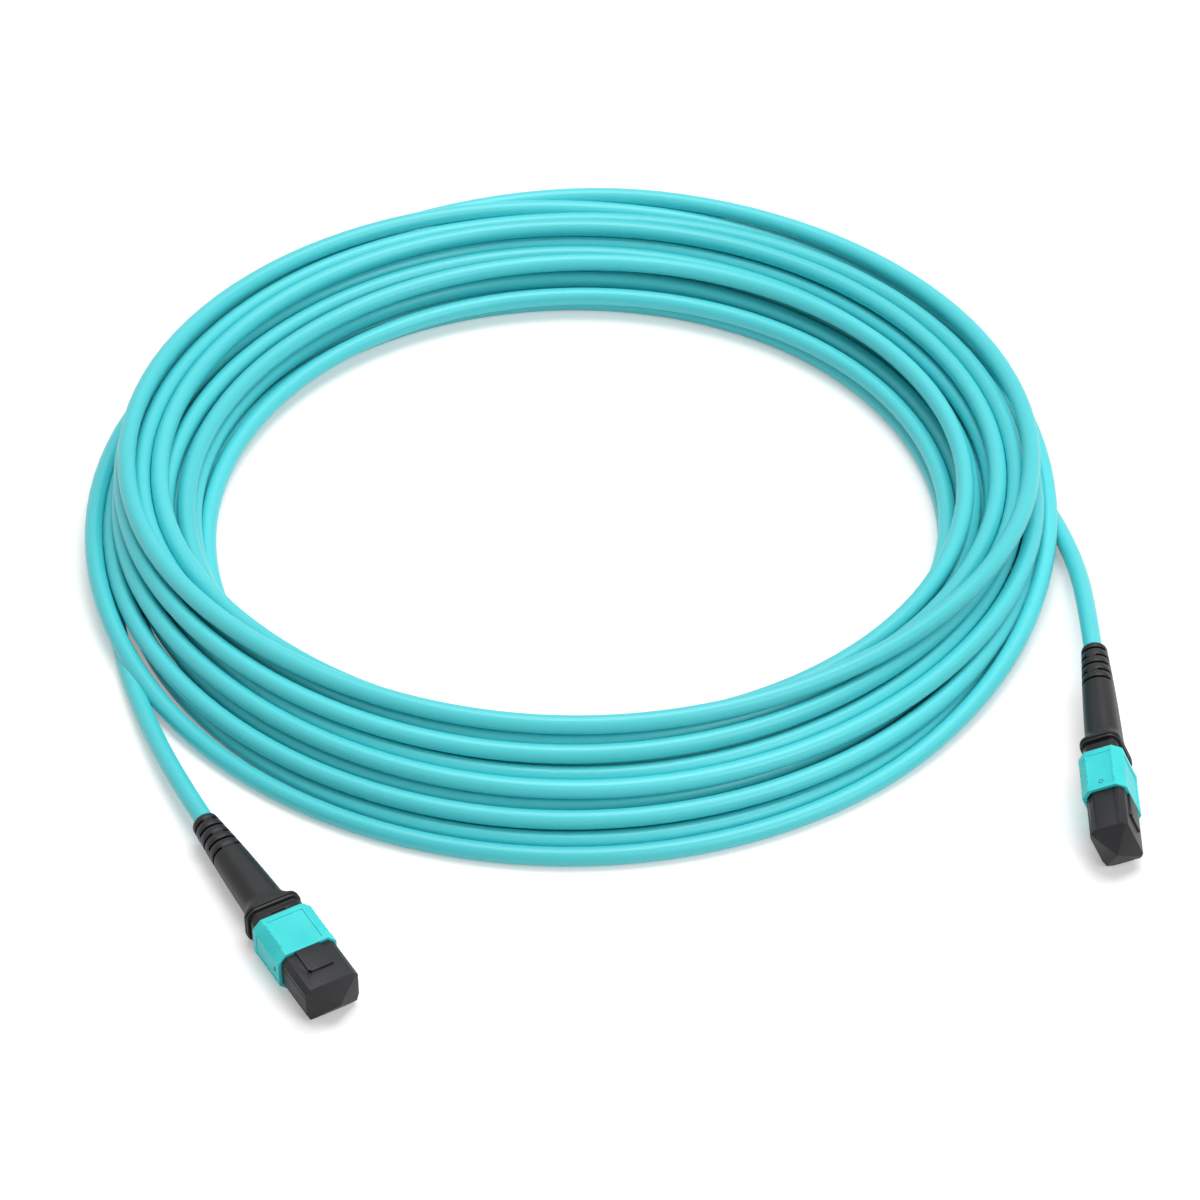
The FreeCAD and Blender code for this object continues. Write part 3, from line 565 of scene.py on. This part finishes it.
# %% Round the edges of a CAD piece
MERGE_WITHIN = 0.001 * MM
FLAT_WITHIN = 1.0
EDGE_FROM = 25
EDGE_SEGMENTS = 2


def softened(node_name, body, radius, reshape=None):
    """A merged copy of a CAD piece, with its edges rounded to a radius in millimetres, replaces it.

    reshape takes the piece's points in its plug's frame, in metres, and gives them back moved.
    """
    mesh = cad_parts[node_name].data.copy()
    mesh.name = node_name + "_soft"
    mesh.materials.clear()
    work = bmesh.new()
    work.from_mesh(mesh)
    bmesh.ops.remove_doubles(work, verts=work.verts, dist=MERGE_WITHIN)
    bmesh.ops.dissolve_limit(work, angle_limit=math.radians(FLAT_WITHIN),
                             verts=work.verts, edges=work.edges)
    if reshape:
        to_cord = plug_frame(node_name[-1])
        in_plug_frame = np.array([to_cord.inverted() @ corner.co for corner in work.verts])
        for corner, moved in zip(work.verts, reshape(in_plug_frame)):
            corner.co = to_cord @ Vector(moved)
    work.to_mesh(mesh)
    work.free()
    mesh.polygons.foreach_set("use_smooth", np.ones(len(mesh.polygons), bool))
    piece = place(node_name + "_soft", mesh, body)
    bevel = piece.modifiers.new("edge radius", "BEVEL")
    bevel.width = radius * MM
    bevel.segments = EDGE_SEGMENTS
    bevel.limit_method = "ANGLE"
    bevel.angle_limit = math.radians(EDGE_FROM)
    bevel.harden_normals = True
    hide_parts(node_name)
    return piece


print("edges are rounded from", EDGE_FROM, "degrees")

# %% Draw out the cap
TIP_GROWTH = 0.9 * MM
TIP_SHARE = 0.4
CAD_BEVEL = 1.0 * MM
KEEL_BEVEL = 0.9 * MM
ON_FACE = 0.1 * MM
AT_BEVEL = 0.25 * MM


def drawn_out(points):
    """The cap's points with its tip face shrunk and moved forward, and wider bevels underneath.

    Where a bevel meets the underside its points move in by KEEL_BEVEL, and where it meets the side
    they move up by KEEL_BEVEL.
    """
    moved = points.copy()
    along, across, up = points.T
    at_tip = along > along.max() - ON_FACE
    moved[at_tip] *= (1.0, TIP_SHARE, TIP_SHARE)
    moved[at_tip, 0] += TIP_GROWTH
    from_side, from_below = abs(across).max() - abs(across), up - up.min()
    bevel_below = (from_below < ON_FACE) & (abs(from_side - CAD_BEVEL) < AT_BEVEL) & ~at_tip
    bevel_side = (from_side < ON_FACE) & (abs(from_below - CAD_BEVEL) < AT_BEVEL) & ~at_tip
    moved[bevel_below, 1] -= KEEL_BEVEL * np.sign(across[bevel_below])
    moved[bevel_side, 2] += KEEL_BEVEL
    print("cap points moved:", at_tip.sum(), bevel_below.sum(), bevel_side.sum())
    return moved


print("the tip moves", TIP_GROWTH / MM, "mm forward")

# %% Sleeves, caps and housings
SLEEVE_EDGE = 0.09
CAP_EDGE = 0.06
HOUSING_EDGE = 0.06
soft = {}
for plug in PLUG_PLACES:
    soft["sleeve_" + plug] = softened("coupling_sleeve_" + plug, "sleeve_" + plug, SLEEVE_EDGE)
    soft["cap_" + plug] = softened("dust_cap_" + plug, "cap_" + plug, CAP_EDGE, drawn_out)
    soft["housing_" + plug] = softened("plug_housing_" + plug, "cord", HOUSING_EDGE)
print("softened", list(soft))

# %% [markdown]
# ## Small marks that help the fitter
# The ring's darker teal is painted shade round it; the ring is moulded in the sleeve's own plastic.
#
# A small raised ring on one narrow side of the sleeve tells that side of the plug from the other.
# The ferrule's end face shows the polished ends of twelve fibres between the two pin bores. Both
# are grids like the boot: a circle carried round a circle, and a low disc with closed ends.

# %% Sleeve ring
RING_STATION = 9.2
SLEEVE_SIDE = 5.98
RING_RADIUS = 0.4
RING_THICKNESS = 0.1
RING_CREASE = 80


def ring_points(centre, radius, thickness, steps=24, sides=8):
    """A torus on a face square to Y: centre + (R + r cos v)(cos u, 0, sin u) + (0, r sin v, 0)."""
    around = np.linspace(0, 2 * np.pi, steps, endpoint=False)[:, None]
    about = np.linspace(0, 2 * np.pi, sides, endpoint=False)[None, :]
    reach = radius + thickness * np.cos(about)
    return np.array(centre) + np.stack([reach * np.cos(around), thickness * np.sin(about) + 0 * around,
                                        reach * np.sin(around)], -1)


def sleeve_ring(plug):
    """The ring on one plug's sleeve, which slides with it."""
    centre = (-RING_STATION, -SLEEVE_SIDE, 0.0)
    surface = in_plug(plug, ring_points(centre, RING_RADIUS, RING_THICKNESS))
    mesh = grid_mesh("ring_" + plug, surface, ring=True)
    smooth_shaded(mesh, RING_CREASE)
    return place("sleeve_ring_" + plug, mesh, "sleeve_" + plug)


print("ring", 2 * (RING_RADIUS + RING_THICKNESS), "mm across")

# %% Fibre ends
FIBRE_RADIUS = 0.0625
FIBRE_PITCH = 0.25
FIBRE_COUNT = 12
FIBRE_FRONT = 0.012
FIBRE_BACK = -0.05


def fibre_points(across, sides=16):
    """A low disc on the end face for one fibre: a circle just in front of it and one just behind."""
    angle = np.linspace(0, 2 * np.pi, sides, endpoint=False)
    circle = FIBRE_RADIUS * np.stack([np.cos(angle), np.sin(angle)], -1)
    return np.array([np.column_stack([np.full(sides, front), circle + (across, 0.0)])
                     for front in (FIBRE_FRONT, FIBRE_BACK)])


def fibre_ends(plug):
    """The row of fibre ends in one plug's ferrule, which moves with it."""
    fibres = bmesh.new()
    for number in range(FIBRE_COUNT):
        across = (number - (FIBRE_COUNT - 1) / 2) * FIBRE_PITCH
        disc = grid_mesh("fibre", in_plug(plug, fibre_points(across)), closed_ends=True)
        fibres.from_mesh(disc)
        bpy.data.meshes.remove(disc)
    mesh = bpy.data.meshes.new("fibre_ends_" + plug)
    fibres.to_mesh(mesh)
    fibres.free()
    return place("fibre_ends_" + plug, mesh, "ferrule_" + plug)


rings = []
ends = []
for plug in PLUG_PLACES:
    rings.append(sleeve_ring(plug))
    ends.append(fibre_ends(plug))
print("marks", [mark.name for mark in rings + ends])

# %% [markdown]
# ## Finishes
#
# Nothing moulded is one flat colour. A jacket drawn over fibres has faint streaks along it, moulded
# sleeves have a fine matte grain, and dark rubber-like boots are dusty at small scale. Each finish is
# a base colour that noise moves a little lighter and darker, a roughness that noise moves too,
# and a fine bump. Patterns follow Object coordinates, or the cable's own length and girth.

# %% Colour and noise helpers
NOISE_RANGE = (0.3, 0.7)


def tint(code):
    """Linear colour of a screen colour code: each channel c becomes ((c + 0.055) / 1.055) ^ 2.4."""
    channels = np.array([int(code[at:at + 2], 16) for at in (0, 2, 4)]) / 255
    linear = np.where(channels <= 0.04045, channels / 12.92, ((channels + 0.055) / 1.055) ** 2.4)
    return (*linear.tolist(), 1.0)


def noise(tree, where, scale, detail, name, stretch=(1.0, 1.0, 1.0)):
    """A noise texture read at a stretched place; its output is the noise value."""
    mapping = tree.nodes.new("ShaderNodeMapping")
    mapping.inputs["Scale"].default_value = stretch
    tree.links.new(where, mapping.inputs["Vector"])
    texture = tree.nodes.new("ShaderNodeTexNoise")
    texture.label = name
    texture.inputs["Scale"].default_value = scale
    texture.inputs["Detail"].default_value = detail
    tree.links.new(mapping.outputs["Vector"], texture.inputs["Vector"])
    return texture.outputs["Fac"]


def mapped(tree, value, low, high, source=(0.0, 1.0)):
    """Maps a value from a source range onto low to high."""
    ranged = tree.nodes.new("ShaderNodeMapRange")
    for socket, number in zip(("From Min", "From Max", "To Min", "To Max"), (*source, low, high)):
        ranged.inputs[socket].default_value = number
    tree.links.new(value, ranged.inputs["Value"])
    return ranged.outputs["Result"]


def blend_colours(tree, value, dark, light):
    """A colour between two colours, by a noise value."""
    mix = tree.nodes.new("ShaderNodeMix")
    mix.data_type = "RGBA"
    mix.inputs["A"].default_value = dark
    mix.inputs["B"].default_value = light
    tree.links.new(mapped(tree, value, 0.0, 1.0, NOISE_RANGE), mix.inputs["Factor"])
    return mix.outputs["Result"]


def add_bump(tree, shader, height, distance, strength, under=None):
    """Bump of a height value on a shader, on top of an earlier bump."""
    bump = tree.nodes.new("ShaderNodeBump")
    bump.inputs["Distance"].default_value = distance
    bump.inputs["Strength"].default_value = strength
    tree.links.new(height, bump.inputs["Height"])
    if under is not None:
        tree.links.new(under, bump.inputs["Normal"])
    tree.links.new(bump.outputs["Normal"], shader.inputs["Normal"])
    return bump.outputs["Normal"]


print("a screen grey of 808080 is", round(tint("808080")[0], 3), "in linear light")

# %% Moulded plastic, dark rubber and metal
CLOUD_SCALE = 160.0
GRAIN_SCALE = 5200.0
PEEL_SCALE = 1500.0
ROUGHNESS_SWING = 0.05
PEEL_DEPTH = 0.00004
PEEL_SHARE = 0.5
GRAIN_DEPTH = 0.00003


def moulded(name, dark, light, roughness, grain, metallic=0.0, gloss=0.5):
    """Moulded finish: clouds between two close colours, a noisy roughness, a fine and a coarse grain."""
    finish = bpy.data.materials.new(name)
    finish.use_nodes = True
    tree = finish.node_tree
    shader = tree.nodes["Principled BSDF"]
    shader.inputs["Metallic"].default_value = metallic
    shader.inputs["Specular IOR Level"].default_value = gloss
    where = tree.nodes.new("ShaderNodeTexCoord").outputs["Object"]
    clouds = noise(tree, where, CLOUD_SCALE, 3.0, "clouds")
    specks = noise(tree, where, GRAIN_SCALE, 2.0, "grain")
    peel = noise(tree, where, PEEL_SCALE, 2.0, "orange peel")
    rough = mapped(tree, specks, roughness - ROUGHNESS_SWING, roughness + ROUGHNESS_SWING, NOISE_RANGE)
    tree.links.new(blend_colours(tree, clouds, dark, light), shader.inputs["Base Color"])
    tree.links.new(rough, shader.inputs["Roughness"])
    coarse = add_bump(tree, shader, peel, PEEL_DEPTH, PEEL_SHARE * grain)
    add_bump(tree, shader, specks, GRAIN_DEPTH, grain, coarse)
    finish.diffuse_color = light
    return finish


FINISHES = {
    "sleeve": moulded("turquoise_plastic", tint("38d6d8"), tint("44e0e1"), 0.46, 0.5, gloss=0.35),
    # the ring is the sleeve's own plastic: its darker teal is painted shade round the raised ring
    "ring": moulded("ring_painted_shade", tint("1f8f93"), tint("2a9ca0"), 0.5, 0.3),
    "boot": moulded("charcoal_rubber", tint("151618"), tint("1b1c1e"), 0.45, 0.6, gloss=0.33),
    "cap": moulded("charcoal_plastic", tint("191a1d"), tint("202124"), 0.47, 0.7, gloss=0.3),
    "housing": moulded("black_plastic", tint("121315"), tint("17181a"), 0.4, 0.35, gloss=0.3),
    "ferrule": moulded("filled_resin", tint("2a2b2c"), tint("35363a"), 0.32, 0.3),
    "ferrule_boot": moulded("soft_black_rubber", tint("121212"), tint("1a1a1b"), 0.7, 0.5),
    "spacer": moulded("grey_metal", tint("8d9094"), tint("a3a6aa"), 0.35, 0.3, metallic=1.0),
    "crimp": moulded("nickel", tint("b4b1a8"), tint("c6c3ba"), 0.25, 0.2, metallic=1.0),
    "spring": moulded("spring_steel", tint("9a9da2"), tint("b5b8bd"), 0.25, 0.15, metallic=1.0),
    "ribbon": moulded("ribbon_coating", tint("8fb4c9"), tint("a9cbdd"), 0.3, 0.1),
    "glass": moulded("fibre_glass", tint("c9dbe4"), tint("e4eef3"), 0.1, 0.05),
}
print(len(FINISHES), "finishes")

# %% Cable jacket
JACKET_DARK = tint("4accd3")
JACKET_LIGHT = tint("57dbe2")
JACKET_IN_VIEWPORT = tint("44c8ce")
SMOOTHEST = 0.3
ROUGHEST = 0.42
STREAK_DEPTH = 0.00008
STREAK_STRENGTH = 0.35
FINE_STRENGTH = 0.25


def jacket():
    """Jacket finish: slow clouds and streaks drawn out along the cable, and a faint grain."""
    finish = bpy.data.materials.new("aqua_jacket")
    finish.use_nodes = True
    tree = finish.node_tree
    shader = tree.nodes["Principled BSDF"]
    where = tree.nodes.new("ShaderNodeUVMap")
    where.uv_map = "along"
    clouds = noise(tree, where.outputs["UV"], 6.0, 3.0, "clouds along the cable", (1.0, 0.25, 1.0))
    streaks = noise(tree, where.outputs["UV"], 9.0, 2.0, "drawn streaks", (0.9, 3.0, 1.0))
    fine = noise(tree, where.outputs["UV"], 60.0, 2.0, "jacket grain", (25.0, 1.0, 1.0))
    rough = mapped(tree, streaks, SMOOTHEST, ROUGHEST, NOISE_RANGE)
    tree.links.new(blend_colours(tree, clouds, JACKET_DARK, JACKET_LIGHT), shader.inputs["Base Color"])
    tree.links.new(rough, shader.inputs["Roughness"])
    streaked = add_bump(tree, shader, streaks, STREAK_DEPTH, STREAK_STRENGTH)
    add_bump(tree, shader, fine, GRAIN_DEPTH, FINE_STRENGTH, streaked)
    finish.diffuse_color = JACKET_IN_VIEWPORT
    return finish


cable_mesh.materials.append(jacket())
print("cable finish", cable_mesh.materials[0].name)

# %% Finishes on the CAD pieces
FINISH_OF = {
    "coupling_sleeve": "sleeve", "strain_boot": "boot", "dust_cap": "cap", "plug_housing": "housing",
    "rear_post": "housing", "mt_ferrule": "ferrule", "ferrule_boot": "ferrule_boot",
    "ferrule_spacer": "spacer", "crimp_ring": "crimp", "ferrule_spring": "spring",
    "coupling_spring_left": "spring", "coupling_spring_right": "spring", "fibre_ribbon": "ribbon",
}
finished = []
for node_name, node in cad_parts.items():
    kind = node_name[:-2]
    if kind in FINISH_OF:
        node.material_slots[0].material = FINISHES[FINISH_OF[kind]]
        finished.append(node_name)
print("finished", len(finished), "CAD pieces")


def finish_piece(piece, finish):
    """Gives a new piece its material."""
    piece.data.materials.append(FINISHES[finish])


for boot in boots:
    finish_piece(boot, "boot")
for name, piece in soft.items():
    kind = name[:-2]
    finish_piece(piece, kind)
for ring, end_row in zip(rings, ends):
    finish_piece(ring, "ring")
    finish_piece(end_row, "glass")
print("finished", len(boots) + len(soft) + len(rings) + len(ends), "made pieces")

# %% [markdown]
# ## The stage
#
# A pale table under one large soft light from above and a weaker one from the front right. The
# table is nearly white to the camera and still takes the soft dark line under each strand. The
# table and the room are brighter where they are seen directly than where they light the cable,
# so they look white and its colour is not washed out.

# %% Floor
FLOOR_REACH = 3.0
near_edge = [(-FLOOR_REACH, -FLOOR_REACH, 0.0), (FLOOR_REACH, -FLOOR_REACH, 0.0)]
far_edge = [(-FLOOR_REACH, FLOOR_REACH, 0.0), (FLOOR_REACH, FLOOR_REACH, 0.0)]
floor_mesh = grid_mesh("floor", np.array([near_edge, far_edge]), around=False)
floor = bpy.data.objects.new("floor", floor_mesh)
bpy.context.scene.collection.objects.link(floor)
print("table", 2 * FLOOR_REACH, "m wide")

# %% Table finish
TABLE_COLOUR = (0.87, 0.845, 0.84, 1.0)
TABLE_ROUGHNESS = 0.9
TABLE_GLOW = 0.3
WHITE = (1.0, 1.0, 1.0, 1.0)


def seen_directly(tree):
    """1 for a ray from the camera, a mirror reflection or clear glass; 0 for one that carries light."""
    light_path = tree.nodes.new("ShaderNodeLightPath")
    value = light_path.outputs["Is Camera Ray"]
    for kind in ("Is Glossy Ray", "Is Transmission Ray"):
        larger = tree.nodes.new("ShaderNodeMath")
        larger.operation = "MAXIMUM"
        tree.links.new(value, larger.inputs[0])
        tree.links.new(light_path.outputs[kind], larger.inputs[1])
        value = larger.outputs["Value"]
    return value


table_top = bpy.data.materials.new("table_top")
table_top.use_nodes = True
table_tree = table_top.node_tree
table_shader = table_tree.nodes["Principled BSDF"]
table_shader.inputs["Base Color"].default_value = TABLE_COLOUR
table_shader.inputs["Roughness"].default_value = TABLE_ROUGHNESS
table_shader.inputs["Specular IOR Level"].default_value = 0.0
table_shader.inputs["Emission Color"].default_value = WHITE
table_glow = mapped(table_tree, seen_directly(table_tree), 0.0, TABLE_GLOW)
table_tree.links.new(table_glow, table_shader.inputs["Emission Strength"])
floor_mesh.materials.append(table_top)
print("table adds", TABLE_GLOW, "to what the camera sees")

# %% Lights
LAMPS = {
    # place, side in metres, power in watts
    "overhead": ((0.15, 0.3, 1.4), 1.0, 15.5),
    "front": ((0.9, -0.8, 1.0), 0.7, 6.0),
}
ROOM_LIGHT = 0.31
ROOM_SEEN = 1.0


def soft_light(name, where, size, power):
    """A square area light, turned so that its face looks at the middle of the coil."""
    data = bpy.data.lights.new(name, "AREA")
    data.shape = "SQUARE"
    data.size = size
    data.energy = power
    lamp = bpy.data.objects.new(name, data)
    lamp.location = where
    lamp.rotation_euler = (-Vector(where)).to_track_quat("-Z", "Y").to_euler()
    bpy.context.scene.collection.objects.link(lamp)


for name, (where, size, power) in LAMPS.items():
    soft_light(name, where, size, power)
world = bpy.data.worlds.new("room")
bpy.context.scene.world = world
world.use_nodes = True
background = world.node_tree.nodes["Background"]
background.inputs["Color"].default_value = WHITE
room_glow = mapped(world.node_tree, seen_directly(world.node_tree), ROOM_LIGHT, ROOM_SEEN)
world.node_tree.links.new(room_glow, background.inputs["Strength"])
bpy.context.scene.view_settings.view_transform = "Standard"
print("lit by", len(LAMPS), "lamps and a pale room")
